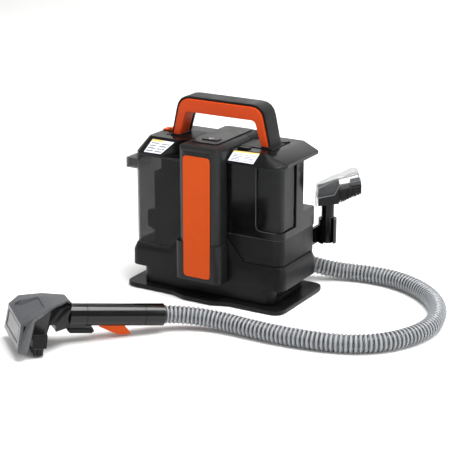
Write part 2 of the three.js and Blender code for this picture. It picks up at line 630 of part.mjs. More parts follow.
function addNozzle(gripFront) {
  const neckRear = gripFront - gap;
  const neckFront = neckRear - grip.neck;
  const neck = rod('x', grip.radius, neckFront, neckRear, [0, 0], 28)
    .add(block(neckFront - 25, neckRear, -13, 13, -grip.radius, -6))
    .subtract(rod('x', grip.bore - 2, neckFront - 5, neckRear + overlap, [0, 0], 20));
  add('grip_neck', neck, finishes.satinBlack, toolGroup);
  const latchTop = -grip.radius - 2.4;
  add('neck_latch', alongY(outline([[neckFront - 2, latchTop], [neckFront - 2, latchTop - 3],
    [neckFront + 3, latchTop - 8, 1], [neckRear + 11, latchTop - 8, 3], [neckRear + 15, latchTop - 5, 2],
    [neckRear + 13, latchTop]].reverse()), -9, 9), finishes.satinBlack, toolGroup);

  // the clear hood is a lofted shell, and the black body lies under it
  const lip = tool.lipHalf;
  const x = neckFront;
  const crown = grip.radius;
  const outer = hull([
    [x + 2, -15, crown - 1.3], [x + 2, 15, crown - 1.3], [x + 3, -12, crown + 3.2], [x + 3, 12, crown + 3.2],
    [x - 6, -13, crown + 10.7], [x - 6, 13, crown + 10.7], [x - 37, -34, 23.5], [x - 37, 34, 23.5],
    [x - 39, -38, 14], [x - 39, 38, 14],
    [x - 85, -lip + 7, 0.5], [x - 85, lip - 7, 0.5], [x - 69, -lip, 12], [x - 69, lip, 12],
    [x - 86, -lip, -43], [x - 86, lip, -43], [x - 76, -lip, -44], [x - 76, lip, -44],
    [x - 88, -lip + 4, -40], [x - 88, lip - 4, -40]]);
  const inside = alongY(outline([
    [x + 4, crown - gap], [x - 5, crown + 7.6], [x - 36, 20.4], [x - 81, -1], [x - 84.6, -42],
    [x - 84.6, -60], [x + 6, -60]].reverse()), -lip + tool.wall, lip - tool.wall);
  // a sunk panel in the sloping top and another in the front face
  const sunk = 1.2;
  const topPanelCut = hull([
    [x - 45.2 + sunk * 0.4, -24, 20 - sunk], [x - 45.2 + sunk * 0.4, 24, 20 - sunk],
    [x - 78 + sunk * 0.4, -36, 4.2 - sunk], [x - 78 + sunk * 0.4, 36, 4.2 - sunk],
    [x - 47.6, -24, 26], [x - 47.6, 24, 26], [x - 81, -36, 10], [x - 81, 36, 10]]);
  const frontPanelCut = hull([
    [x - 85.5 + sunk, -40, -5], [x - 85.5 + sunk, 40, -5], [x - 87.4 + sunk, -42, -31],
    [x - 87.4 + sunk, 42, -31], [x - 92, -40, -4.4], [x - 92, 40, -4.4], [x - 94, -42, -31],
    [x - 94, 42, -31]]);
  add('nozzle_hood', outer.subtract(inside).subtract(topPanelCut).subtract(frontPanelCut), finishes.smoke,
    toolGroup);

  const half = lip - tool.wall - 1;
  const body = hull([
    [x - gap, -14, -17], [x - gap, 14, -17], [x - gap, -15, crown - 2.8],
    [x - gap, 15, crown - 2.8], [x - 6, -12, crown + 6.6], [x - 6, 12, crown + 6.6],
    [x - 36, -32, 19.6], [x - 36, 32, 19.6], [x - 37, -35, 4], [x - 37, 35, 4],
    [x - 80, -half + 5, -1.8], [x - 80, half - 5, -1.8], [x - 82, -half, -16], [x - 82, half, -16],
    [x - 45, -half + 4, -17], [x - 45, half - 4, -17], [x - 16, -14, -17.2], [x - 16, 14, -17.2]])
    .subtract(alongY(outline([[x - 26, -60], [x - 26, -9], [x - 30, -4], [x - 38, -4], [x - 42.5, -15],
      [x - 42.5, -60]].reverse()), -lip, lip))
    .subtract(block(x - 25.6, x + 1, -13.4, 13.4, -crown - 3, -5.6))
    .add(block(x - 65, x - 42.6, -half, half, -37, -16))
    .subtract(block(x - 81, x - 66, -half + 6, half - 6, -30, -6))
    .subtract(rod('x', 9, x - 78, x + 2, [0, 4], 16));
  add('nozzle_body', body, finishes.satinBlack, toolGroup);
  add('nozzle_brush', block(x - 61, x - 46, -half + 3, half - 3, tool.brushLow, -37 - gap), finishes.bristle,
    toolGroup);
  add('spray_tip', rod('z', 3, -11, -4 - gap, [x - 34, 0], 14).add(rod('z', 1.4, -14, -10, [x - 34, 0], 10)),
    finishes.steel, toolGroup);
}

// ---------------------------------------------------------------- stain tool and its holder

function addHolder() {
  const inner = clip.tube + gap;
  const outer = clip.tube + clip.wall;
  const rear = housingRear + gap;
  const centre = [clip.x, clip.y];
  const ring = rod('z', outer, clip.low, clip.high, centre, 32)
    .subtract(rod('z', inner, clip.low - overlap, clip.high + overlap, centre, 32));
  // the mouth of the clip opens to the front right
  const mouth = block(0, 40, -8.2, 8.2, clip.low - overlap, clip.high + overlap)
    .rotate([0, 0, -55]).translate([clip.x, clip.y, 0]);
  const cheek = clip.x - outer + 1.5;
  const bracket = block(cheek - 26, cheek + 2, rear, rear + 5, footTop + 4, clip.high - 14)
    .add(block(cheek - 4, cheek + 2, rear, clip.y + 6, clip.low, clip.high - 14));
  add('tool_holder', ring.subtract(mouth).add(bracket), finishes.satinBlack);
}

function addStainTool() {
  const group = new THREE.Group();
  group.position.set(clip.x, clip.y, 0);
  group.rotation.z = stain.turn;
  machine.add(group);
  const top = stain.top;
  const tube = rod('z', clip.tube, clip.low + 0.6, top + 8, [0, 0], 24)
    .subtract(rod('z', clip.tube - 2.4, clip.low - overlap, top - 4, [0, 0], 20));
  const body = alongY(outline([[-17.5, top - 0.5, 1], [18, top + 4], [18, top + 41], [-9, top + 31, 2],
    [-17.5, top + 29, 1]]), -stain.half, stain.half);
  add('stain_tool_body', tube.add(body), finishes.satinBlack, group);
  const cover = alongY(outline([[-22.4, top - 1], [-22.4, top + 30.5, 2], [9, top + 47.8, 8],
    [22, top + 51.5, 8], [38, top + 60.5, 6], [49, top + 61.5, 2], [53.5, top + 47], [18.4, top + 37],
    [10, top + 20],
    [-19, top + 14], [-19, top - 1]].reverse()), -stain.half - 3, stain.half + 3);
  const coverInside = alongY(outline([[-18.4, top - 4], [-18.4, top + 29.8], [9, top + 44.6],
    [22.6, top + 48.6], [38, top + 57.5], [47, top + 58.6], [54, top + 40], [54, top - 4]].reverse()),
  -stain.half - gap, stain.half + gap);
  add('stain_tool_hood', cover.subtract(coverInside), finishes.clear, group);
  add('stain_tool_brush', alongY(outline([[18.4, top + 4.2], [37, top + 10], [57, top + 22], [55, top + 37],
    [18.4, top + 29.5]]), -stain.half + 1, stain.half - 1), finishes.bristle, group);
}

function addGland() {
  const rear = housingRear + gap;
  const centre = [-beltHalf + 34, beltTop - 20];
  add('cord_gland', rod('y', 13, rear, rear + 3, centre, 24).add(rod('y', 7, rear + 2, rear + 16, centre, 20))
    .subtract(rod('y', 3.6, rear + 4, rear + 17, centre, 14)), finishes.rubber);
}

addBase();
addHousing();
addColumn();
addWorks();
addHandle();
addDirtyTank();
addCleanTank();
addHose();
addNozzle(addGrip());
addHolder();
addStainTool();
addGland();

export default machine;
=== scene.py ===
import json
import math

import bmesh
import bpy
from mathutils import Matrix, Vector
from mathutils.bvhtree import BVHTree

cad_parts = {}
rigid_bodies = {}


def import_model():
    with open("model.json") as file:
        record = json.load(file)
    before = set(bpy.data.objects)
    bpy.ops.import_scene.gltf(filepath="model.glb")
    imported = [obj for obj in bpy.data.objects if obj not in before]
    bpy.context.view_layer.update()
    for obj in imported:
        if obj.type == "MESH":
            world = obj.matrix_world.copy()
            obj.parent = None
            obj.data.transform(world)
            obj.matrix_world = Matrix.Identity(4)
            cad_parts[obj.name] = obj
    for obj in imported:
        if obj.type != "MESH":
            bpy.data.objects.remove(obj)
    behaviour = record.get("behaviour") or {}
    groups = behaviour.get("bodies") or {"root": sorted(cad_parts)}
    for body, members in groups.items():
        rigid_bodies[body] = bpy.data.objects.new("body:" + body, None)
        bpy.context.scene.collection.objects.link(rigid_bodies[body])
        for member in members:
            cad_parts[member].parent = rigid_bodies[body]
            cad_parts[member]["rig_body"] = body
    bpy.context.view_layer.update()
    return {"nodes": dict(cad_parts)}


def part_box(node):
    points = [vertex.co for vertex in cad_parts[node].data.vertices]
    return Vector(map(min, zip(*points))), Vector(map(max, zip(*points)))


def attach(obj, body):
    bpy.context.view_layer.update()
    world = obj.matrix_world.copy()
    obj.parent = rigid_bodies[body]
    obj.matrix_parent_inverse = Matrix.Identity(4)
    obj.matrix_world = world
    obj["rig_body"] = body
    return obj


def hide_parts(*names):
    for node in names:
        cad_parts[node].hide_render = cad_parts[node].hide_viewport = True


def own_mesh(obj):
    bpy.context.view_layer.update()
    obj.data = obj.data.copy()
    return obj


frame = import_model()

nodes = frame["nodes"]
MM = 0.001
# points closer than this are one point; faces within FLAT are one face; edges past HARD_EDGE get a radius
SAME_PLACE = 4e-6
FLAT = math.radians(0.7)
HARD_EDGE = math.radians(30)


# ---------------------------------------------------------------- camera

def place_camera():
    """The camera stands to the machine's right of centre and a little above it."""
    lens = bpy.data.cameras.new("camera")
    lens.lens = 119.38
    lens.sensor_width = 36
    lens.clip_end = 30
    camera = bpy.data.objects.new("camera", lens)
    camera.location = (1.2311, -2.0822, 0.8845)
    camera.rotation_euler = (math.radians(72.29), 0, math.radians(30.57))
    bpy.context.scene.collection.objects.link(camera)
    bpy.context.scene.camera = camera


place_camera()


# ---------------------------------------------------------------- small tools

def linear(code, alpha=1.0):
    """An sRGB hex value as linear red, green, blue and alpha."""
    parts = [int(code[i:i + 2], 16) / 255 for i in (1, 3, 5)]
    parts = [p / 12.92 if p <= 0.04045 else ((p + 0.055) / 1.055) ** 2.4 for p in parts]
    return (*parts, alpha)


def put(tree, kind, links=(), **settings):
    """Adds a node with its settings, and its inputs as sockets or plain values."""
    node = tree.nodes.new(kind)
    for name, value in settings.items():
        setattr(node, name, value)
    for key, value in dict(links).items():
        if isinstance(value, bpy.types.NodeSocket):
            tree.links.new(value, node.inputs[key])
        else:
            node.inputs[key].default_value = value
    return node


def piece_from(name, mesh, material=None):
    piece = bpy.data.objects.new(name, mesh)
    bpy.context.scene.collection.objects.link(piece)
    if material:
        mesh.materials.clear()
        mesh.materials.append(material)
    return piece


def settled(piece):
    """Turns a piece with modifiers into a plain mesh of the same name."""
    seen = piece.evaluated_get(bpy.context.evaluated_depsgraph_get())
    mesh = bpy.data.meshes.new_from_object(seen)
    name = piece.name
    piece.name = name + "_maker"
    done = piece_from(name, mesh)
    bpy.data.objects.remove(piece)
    return done


def joined(name, parts, material):
    """One mesh from a list of (vertices, faces)."""
    points, faces = [], []
    for some_points, some_faces in parts:
        faces += [[i + len(points) for i in face] for face in some_faces]
        points += some_points
    mesh = bpy.data.meshes.new(name)
    mesh.from_pydata([tuple(p) for p in points], [], faces)
    mesh.validate()
    return piece_from(name, mesh, material)


def shade_smooth(work, soft):
    """Shades faces up to soft degrees apart as one."""
    for face in work.faces:
        face.smooth = True
    for edge in work.edges:
        edge.smooth = edge.calc_face_angle(0) < math.radians(soft)


def outward(piece, soft=None):
    """Points every face of a closed mesh outwards, and shades it where soft is given."""
    work = bmesh.new()
    work.from_mesh(piece.data)
    bmesh.ops.recalc_face_normals(work, faces=work.faces)
    if soft:
        shade_smooth(work, soft)
    work.to_mesh(piece.data)
    work.free()


def fitted(piece, node):
    """A piece moves with a node's body."""
    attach(piece, nodes[node]["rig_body"])


def rounded(name, material, bevel):
    """A cleaned copy of a moulded CAD solid, its hard edges given a small radius in millimetres."""
    mesh = nodes[name].data.copy()
    work = bmesh.new()
    work.from_mesh(mesh)
    bmesh.ops.remove_doubles(work, verts=work.verts, dist=SAME_PLACE)
    bmesh.ops.dissolve_degenerate(work, dist=SAME_PLACE, edges=work.edges)
    bmesh.ops.dissolve_limit(work, angle_limit=FLAT, verts=work.verts, edges=work.edges)
    hard = [e for e in work.edges if e.is_manifold and e.calc_face_angle(0) > HARD_EDGE]
    bmesh.ops.bevel(work, geom=hard, offset=bevel * MM, segments=2, profile=0.5, affect="EDGES",
                    clamp_overlap=False)
    shade_smooth(work, 32)
    work.to_mesh(mesh)
    work.free()
    piece = piece_from(name + "_moulded", mesh, material)
    weighted = piece.modifiers.new("even_faces", "WEIGHTED_NORMAL")
    weighted.keep_sharp = True
    weighted.weight = 100
    piece = settled(piece)
    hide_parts(name)
    fitted(piece, name)
    return piece


# ---------------------------------------------------------------- materials

def plastic(name, colour, roughness, grain=1.4, depth=0.05, cloud=0.06, shade=0.12, alpha=1.0, ior=1.5,
            specular=0.5):
    """Injection-moulded plastic. grain is the spacing in millimetres of its spark-eroded texture and
    depth how strong that is; cloud is how far its roughness wanders, and shade its colour, as on handled
    plastic."""
    material = bpy.data.materials.new(name)
    material.use_nodes = True
    tree = material.node_tree
    shader = tree.nodes["Principled BSDF"]
    shader.inputs["IOR"].default_value = ior
    shader.inputs["Specular IOR Level"].default_value = specular
    shader.inputs["Alpha"].default_value = alpha
    place = put(tree, "ShaderNodeTexCoord").outputs["Object"]
    fine = put(tree, "ShaderNodeTexNoise", {"Vector": place, "Scale": 1000 / grain, "Detail": 2.0})
    broad = put(tree, "ShaderNodeTexNoise", {"Vector": place, "Scale": 28.0, "Detail": 3.0})
    rough = put(tree, "ShaderNodeMapRange", {
        "Value": broad.outputs["Fac"], "From Min": 0.3, "From Max": 0.7,
        "To Min": max(0.02, roughness - cloud), "To Max": roughness + cloud})
    tree.links.new(rough.outputs["Result"], shader.inputs["Roughness"])
    base = linear(colour)
    dark = tuple(c * (1 - shade) for c in base[:3]) + (1,)
    light = tuple(min(1, c * (1 + shade)) for c in base[:3]) + (1,)
    mix = put(tree, "ShaderNodeMixRGB", {"Fac": broad.outputs["Fac"], "Color1": dark, "Color2": light})
    tree.links.new(mix.outputs["Color"], shader.inputs["Base Color"])
    bump = put(tree, "ShaderNodeBump", {
        "Height": fine.outputs["Fac"], "Strength": depth, "Distance": 0.0004})
    tree.links.new(bump.outputs["Normal"], shader.inputs["Normal"])
    if alpha < 1:
        material.surface_render_method = "BLENDED"
    return material


# ABS with a fine spark-eroded texture: even soft sheen, no mirror image. Real grain is near 0.2 mm and is
# drawn at about 1.4 mm so that it shows.
satin_black = plastic("satin_abs_black", "#0e0e0f", 0.36, depth=0.05, specular=0.17)
# the column is the same plastic in a slightly lighter grey, softer in its sheen
column_grey = plastic("satin_abs_graphite", "#1a1a1b", 0.34, depth=0.05, specular=0.24)
# the top plate is polished a little more than what is round it
top_grey = plastic("fine_abs_graphite", "#151516", 0.28, depth=0.03, specular=0.26)
# polished ABS: a clear reflection with slightly soft edges
gloss_black = plastic("polished_abs_black", "#080809", 0.13, grain=3, depth=0.01, cloud=0.04, specular=0.18)
# the hand grip is polished the same way and wiped by hands, so its highlights run brighter
grip_black = plastic("polished_abs_grip", "#09090a", 0.13, grain=3, depth=0.01, cloud=0.03, specular=0.36)
# the tank lids have a finer texture than the body: their sloping corners light up
lid_black = plastic("fine_abs_black", "#0a0a0b", 0.24, depth=0.02, cloud=0.04, specular=0.24)
# coloured ABS, semi-matt, with a warm even body colour
orange = plastic("satin_abs_orange", "#cb4a08", 0.4, depth=0.02, shade=0.05, specular=0.16)
# the handle's liner is a softer, slightly duller overmould
orange_soft = plastic("overmoulded_orange", "#c8420e", 0.46, depth=0.04, shade=0.06, specular=0.2)
# smoked SAN or clear ABS, polished in the mould: dark but see-through, with sharp highlights
smoke = plastic("smoked_clear_abs", "#141516", 0.07, grain=6, depth=0.004, cloud=0.02, alpha=0.58,
                ior=1.56, specular=0.18)
# the fresh water bottle is the same clear plastic behind its window, a shade lighter
smoke_window = plastic("smoked_bottle", "#151617", 0.06, grain=6, depth=0.004, cloud=0.02, alpha=0.58,
                       ior=1.56, specular=0.2)
# the nozzle hood is a milkier smoke: its shape reads more than what is behind it
smoke_hood = plastic("smoked_hood", "#505255", 0.16, grain=6, depth=0.006, cloud=0.03, alpha=0.82,
                     ior=1.56, specular=0.4)
# clear polycarbonate: little colour of its own, sharp highlights
clear = plastic("clear_polycarbonate", "#33363a", 0.06, grain=6, depth=0.004, cloud=0.02, alpha=0.2,
                ior=1.58, specular=0.9)
# the edges of clear parts get thin pale lines: painted highlights, standing in for the light that runs
# along a clear wall and shows at its cut and moulded edges
pale_edge_highlight = plastic("painted_highlight_pale", "#8b8f93", 0.2, grain=3, depth=0.01, alpha=0.85, specular=0.3)
grey_edge_highlight = plastic("painted_highlight_grey", "#56585b", 0.2, grain=3, depth=0.01, alpha=0.85, specular=0.3)
# the hand tool's inner lip is a softer grey plastic that wipes the fabric
lip_grey = plastic("soft_grey_pvc", "#3d3f42", 0.45, grain=1.6, depth=0.05)
# soft PVC, ribbed and slightly milky: you half see through it
hose_skin = plastic("clear_pvc_hose", "#c6c8cb", 0.2, grain=4, depth=0.02, cloud=0.05, alpha=0.75, ior=1.53)


def paint_rib_light_and_shade(material):
    """The ribs' crests are pale, partly the milky hose's own colour and partly a painted highlight, and the
    narrow roots between them are dark with painted shade.
    """
    tree = material.node_tree
    crest = put(tree, "ShaderNodeAttribute", attribute_name="crest").outputs["Fac"]
    ramp = put(tree, "ShaderNodeValToRGB", {"Fac": crest})
    ramp.color_ramp.elements[0].position, ramp.color_ramp.elements[1].position = 0.2, 0.75
    # painted shade in the roots and a painted highlight on the crests
    ramp.color_ramp.elements[0].color = linear("#1c1d1f")
    ramp.color_ramp.elements[1].color = linear("#999ca0")
    tree.links.new(ramp.outputs["Color"], tree.nodes["Principled BSDF"].inputs["Base Color"])


paint_rib_light_and_shade(hose_skin)
# the stiff grey spiral in the hose's wall: a darker, softly shining turn under each rib
hose_rib = plastic("grey_pvc_spiral", "#6c6f73", 0.34, grain=3, depth=0.02, cloud=0.05)
# the thin water tube inside the hose: a pale line through the wall
hose_line = plastic("pale_pvc_tube", "#a3a6aa", 0.3, grain=3, depth=0.02, cloud=0.05)
# moulded rubber: matt, with almost no highlight
rubber = plastic("moulded_rubber", "#191a1b", 0.78, grain=1.2, depth=0.15)
# unpolished ABS inside the machine: plain dark and dull
inner_dark = plastic("inside_abs_charcoal", "#26272a", 0.5, depth=0.05)
# pad-printed ink: flat and slightly chalky
mark_white = plastic("pad_printed_white", "#d5d6d8", 0.6, grain=0.8, depth=0.05)
# black nylon filament: each one catches a thin line of light
nylon = plastic("black_nylon_filament", "#121214", 0.4, grain=0.8, depth=0.1)


def metal(name, colour, roughness):
    """Machined or drawn steel: fine lines one way, drawn wider than the real tool marks."""
    material = bpy.data.materials.new(name)
    material.use_nodes = True
    tree = material.node_tree
    shader = tree.nodes["Principled BSDF"]
    shader.inputs["Metallic"].default_value = 1
    place = put(tree, "ShaderNodeTexCoord").outputs["Object"]
    turned = put(tree, "ShaderNodeMapping", {"Vector": place, "Scale": (1, 1, 18)})
    lines = put(tree, "ShaderNodeTexNoise", {
        "Vector": turned.outputs["Vector"], "Scale": 400.0, "Detail": 3.0})
    rough = put(tree, "ShaderNodeMapRange", {"Value": lines.outputs["Fac"], "To Min": roughness - 0.08,
                "To Max": roughness + 0.12})
    tree.links.new(rough.outputs["Result"], shader.inputs["Roughness"])
    tint = put(tree, "ShaderNodeMixRGB", {"Fac": lines.outputs["Fac"], "Color1": linear(colour),
               "Color2": tuple(c * 0.8 for c in linear(colour)[:3]) + (1,)})
    tree.links.new(tint.outputs["Color"], shader.inputs["Base Color"])
    bump = put(tree, "ShaderNodeBump", {
        "Height": lines.outputs["Fac"], "Strength": 0.1, "Distance": 0.0002})
    tree.links.new(bump.outputs["Normal"], shader.inputs["Normal"])
    return material


# drawn steel: bright, with fine lines along it
steel = metal("drawn_steel", "#b9bbbd", 0.3)
# blackened screws: dark, with a soft metal sheen
screw_steel = metal("blackened_steel", "#4a4b4d", 0.38)


def circuit_board():
    """Glass-fibre board with green solder mask over fine copper tracks."""
    material = plastic("green_solder_mask", "#1d5c38", 0.35)
    tree = material.node_tree
    shader = tree.nodes["Principled BSDF"]
    place = put(tree, "ShaderNodeTexCoord").outputs["Object"]
    tracks = put(tree, "ShaderNodeTexBrick", {"Vector": place, "Scale": 160.0, "Mortar Size": 0.05,
                 "Color1": linear("#1d5c38"), "Color2": linear("#22663f"), "Mortar": linear("#3c8a58")})
    tree.links.new(tracks.outputs["Color"], shader.inputs["Base Color"])
    return material


board_green = circuit_board()


def printed_label(name, head, rows, columns):
    """Coated paper with a yellow head strip over plain grey bars and blocks, without any lettering. It
    reads the label's own UV map, with U across and V up. head is the strip's two ends and lower edge."""
    material = bpy.data.materials.new(name)
    material.use_nodes = True
    tree = material.node_tree
    shader = tree.nodes["Principled BSDF"]
    shader.inputs["Roughness"].default_value = 0.35
    shader.inputs["Specular IOR Level"].default_value = 0.3
    card = put(tree, "ShaderNodeTexCoord").outputs["UV"]
    spot = put(tree, "ShaderNodeSeparateXYZ", {"Vector": card})
    across, up = spot.outputs["X"], spot.outputs["Y"]
    repeats = []
    for value, count in ((up, rows), (across, columns)):
        many = put(tree, "ShaderNodeMath", {0: value, 1: float(count)}, operation="MULTIPLY")
        repeats.append(put(tree, "ShaderNodeMath", {0: many.outputs[0]}, operation="FRACT").outputs[0])
    line, cell = repeats
    wide = put(tree, "ShaderNodeVectorMath", {0: card, 1: (columns * 2.2, rows, 1)}, operation="MULTIPLY")
    ragged = put(tree, "ShaderNodeTexNoise", {"Vector": wide.outputs[0], "Scale": 1.3, "Detail": 1.0})
    # a mask is where every one of its tests holds, as strong as the print
    print_strength = 0.8
    masks = []
    for tests in (
            ((across, "GREATER_THAN", head[0]), (across, "LESS_THAN", head[1]),
             (up, "GREATER_THAN", head[2])),
            ((line, "GREATER_THAN", 0.45), (ragged.outputs["Fac"], "GREATER_THAN", 0.36),
             (cell, "GREATER_THAN", 0.1), (cell, "LESS_THAN", 0.88), (across, "GREATER_THAN", 0.06),
             (across, "LESS_THAN", 0.94), (up, "GREATER_THAN", 0.08), (up, "LESS_THAN", head[2] - 0.06))):
        mask = print_strength
        for value, compare, edge in tests:
            held = put(tree, "ShaderNodeMath", {0: value, 1: edge}, operation=compare).outputs[0]
            mask = put(tree, "ShaderNodeMath", {0: held, 1: mask}, operation="MULTIPLY").outputs[0]
        masks.append(mask)
    paper = put(tree, "ShaderNodeMixRGB", {"Fac": masks[1], "Color1": linear("#e2e3ea"),
                "Color2": linear("#4d5060")})
    ink = put(tree, "ShaderNodeMixRGB", {"Fac": masks[0], "Color1": paper.outputs["Color"],
              "Color2": linear("#e0b400")})
    tree.links.new(ink.outputs["Color"], shader.inputs["Base Color"])
    return material


left_print = printed_label("printed_card_left", (0.0, 0.5, 0.84), 5, 2)
right_print = printed_label("printed_card_right", (0.0, 1.0, 0.86), 7, 2)


# ---------------------------------------------------------------- hose

# the hose's middle line, in millimetres, from the elbow to the cuff
HOSE_POINTS = [
    (66.4, 92.2, 42), (86, 101.6, 36.7), (106, 111.5, 29.6), (127, 122.5, 22.8), (150, 134, 17.9),
    (177, 143.5, 15.8), (212, 148.6, 15.5), (254, 146, 15.5), (300, 128, 15.5), (341, 96, 15.5),
    (371, 54, 15.5), (388, 8, 15.5), (392, -38, 15.5), (381, -84, 15.5), (356, -125, 15.5),
    (318, -154, 15.5), (272, -169.5, 15.5), (226, -176.5, 15.5), (182, -179, 15.6), (145, -179.2, 16.2),
    (112, -179.4, 17.6), (86, -183.4, 19.5), (61.5, -191.6, 21.9), (39.5, -204.2, 24.4),
    (23.6, -217.8, 26.6), (18.7, -223.5, 27.4)]
# the ribs, in metres: their spacing, the radii of their crests and roots, and how finely they are cut
RIB_PITCH, CREST_RADIUS, ROOT_RADIUS, RIB_STEP = 0.0072, 0.0150, 0.0131, 0.0009
SPIRAL_RADIUS, SPIRAL_WIRE, WATER_TUBE = 0.0126, 0.0011, 0.0032


def smooth_route(points, step=0.0011):
    """A centripetal spline through the points, in metres, cut into even steps."""
    p = [Vector(q) * MM for q in points]
    p = [2 * p[0] - p[1]] + p + [2 * p[-1] - p[-2]]
    dense = []
    for a, b, c, d in zip(p, p[1:], p[2:], p[3:]):
        t0, t1 = 0.0, (b - a).length ** 0.5
        t2 = t1 + (c - b).length ** 0.5
        t3 = t2 + (d - c).length ** 0.5
        for i in range(40):
            t = t1 + (t2 - t1) * i / 40
            ab = a * ((t1 - t) / (t1 - t0)) + b * ((t - t0) / (t1 - t0))
            bc = b * ((t2 - t) / (t2 - t1)) + c * ((t - t1) / (t2 - t1))
            cd = c * ((t3 - t) / (t3 - t2)) + d * ((t - t2) / (t3 - t2))
            abc = ab * ((t2 - t) / (t2 - t0)) + bc * ((t - t0) / (t2 - t0))
            bcd = bc * ((t3 - t) / (t3 - t1)) + cd * ((t - t1) / (t3 - t1))
            dense.append(abc * ((t2 - t) / (t2 - t1)) + bcd * ((t - t1) / (t2 - t1)))
    dense.append(p[-2])
    total = sum((b - a).length for a, b in zip(dense, dense[1:]))
    count = round(total / step)
    even, walked, goal = [dense[0]], 0.0, total / count
    for a, b in zip(dense, dense[1:]):
        length = (b - a).length
        while walked + length >= goal - 1e-9 and len(even) < count + 1:
            even.append(a.lerp(b, (goal - walked) / length))
            goal += total / count
        walked += length
    even[-1] = dense[-1]
    return even, total


def frames_along(route):
    """Two directions across the route at each point, carried along it without twist."""
    side = Vector((0, 0, 1))
    frames = []
    for i, point in enumerate(route):
        ahead = (route[min(i + 1, len(route) - 1)] - route[max(i - 1, 0)]).normalized()
        side = (side - ahead * side.dot(ahead)).normalized()
        frames.append((side.copy(), ahead.cross(side)))
    return frames


def ribbed_tree():
    """Geometry Nodes: a tube along a curve whose radius swells and narrows once each pitch."""
    tree = bpy.data.node_groups.new("ribbed_tube", "GeometryNodeTree")
    face = tree.interface
    face.new_socket("Geometry", in_out="INPUT", socket_type="NodeSocketGeometry")
    for name, value in (("Pitch", RIB_PITCH), ("Crest radius", CREST_RADIUS), ("Root radius", ROOT_RADIUS),
                        ("Step", RIB_STEP)):
        face.new_socket(name, in_out="INPUT", socket_type="NodeSocketFloat").default_value = value
    face.new_socket("Sides", in_out="INPUT", socket_type="NodeSocketInt").default_value = 20
    face.new_socket("Skin", in_out="INPUT", socket_type="NodeSocketMaterial")
    face.new_socket("Geometry", in_out="OUTPUT", socket_type="NodeSocketGeometry")
    given = put(tree, "NodeGroupInput").outputs
    line = put(tree, "GeometryNodeResampleCurve", {"Curve": given["Geometry"], "Length": given["Step"]},
               mode="LENGTH")
    along = put(tree, "GeometryNodeSplineParameter").outputs["Length"]
    turns = put(tree, "ShaderNodeMath", {0: along, 1: given["Pitch"]}, operation="DIVIDE").outputs[0]
    wave = put(tree, "ShaderNodeMath", {0: turns, 1: 2 * math.pi}, operation="MULTIPLY").outputs[0]
    wave = put(tree, "ShaderNodeMath", {0: wave}, operation="COSINE").outputs[0]
    # a squarer wave gives flat crests and narrow roots
    wave = put(tree, "ShaderNodeMath", {0: wave, 1: 1.7}, operation="MULTIPLY").outputs[0]
    wave = put(tree, "ShaderNodeClamp", {"Value": wave, "Min": -1.0, "Max": 1.0}).outputs[0]
    size = put(tree, "ShaderNodeMapRange", {"Value": wave, "From Min": -1.0, "From Max": 1.0,
               "To Min": given["Root radius"], "To Max": given["Crest radius"]}).outputs["Result"]
    # the material reads how high on a rib each point is, for its painted shade in the roots and painted
    # highlight on the crests
    height = put(tree, "ShaderNodeMapRange", {"Value": wave, "From Min": -1.0}).outputs["Result"]
    marked = put(tree, "GeometryNodeStoreNamedAttribute", {
        "Geometry": line.outputs["Curve"], "Name": "crest", "Value": height})
    ring = put(tree, "GeometryNodeCurvePrimitiveCircle", {"Resolution": given["Sides"], "Radius": 1.0})
    tube = put(tree, "GeometryNodeCurveToMesh", {"Curve": marked.outputs["Geometry"], "Profile Curve":
               ring.outputs["Curve"], "Scale": size, "Fill Caps": True})
    smooth = put(tree, "GeometryNodeSetShadeSmooth", {"Geometry": tube.outputs["Mesh"]})
    real = put(tree, "GeometryNodeRealizeInstances", {"Geometry": smooth.outputs[0]})
    skinned = put(tree, "GeometryNodeSetMaterial", {"Geometry": real.outputs[0], "Material": given["Skin"]})
    put(tree, "NodeGroupOutput", {"Geometry": skinned.outputs[0]})
    return tree


def give(modifier, tree, **values):
    """Sets a modifier's inputs by their sockets' identifiers."""
    named = {s.name: s.identifier for s in tree.interface.items_tree if s.item_type == "SOCKET" and
             s.in_out == "INPUT"}
    for name, value in values.items():
        modifier[named[name.replace("_", " ")]] = value


def tube_along(name, route, radius, sides, material):
    """A closed round tube along a route, smooth round its side and flat at its ends."""
    points, faces = [], []
    for point, (a, b) in zip(route, frames_along(route)):
        points += [point + (a * math.cos(t) + b * math.sin(t)) * radius
                   for t in (2 * math.pi * k / sides for k in range(sides))]
    for i in range(len(route) - 1):
        for k in range(sides):
            j = (k + 1) % sides
            faces.append([i * sides + k, i * sides + j, (i + 1) * sides + j, (i + 1) * sides + k])
    faces.append(list(range(sides))[::-1])
    faces.append([(len(route) - 1) * sides + k for k in range(sides)])
    piece = joined(name, [(points, faces)], material)
    fix = bmesh.new()
    fix.from_mesh(piece.data)
    bmesh.ops.recalc_face_normals(fix, faces=fix.faces)
    for face in fix.faces:
        face.smooth = len(face.verts) == 4
    fix.to_mesh(piece.data)
    fix.free()
    return piece


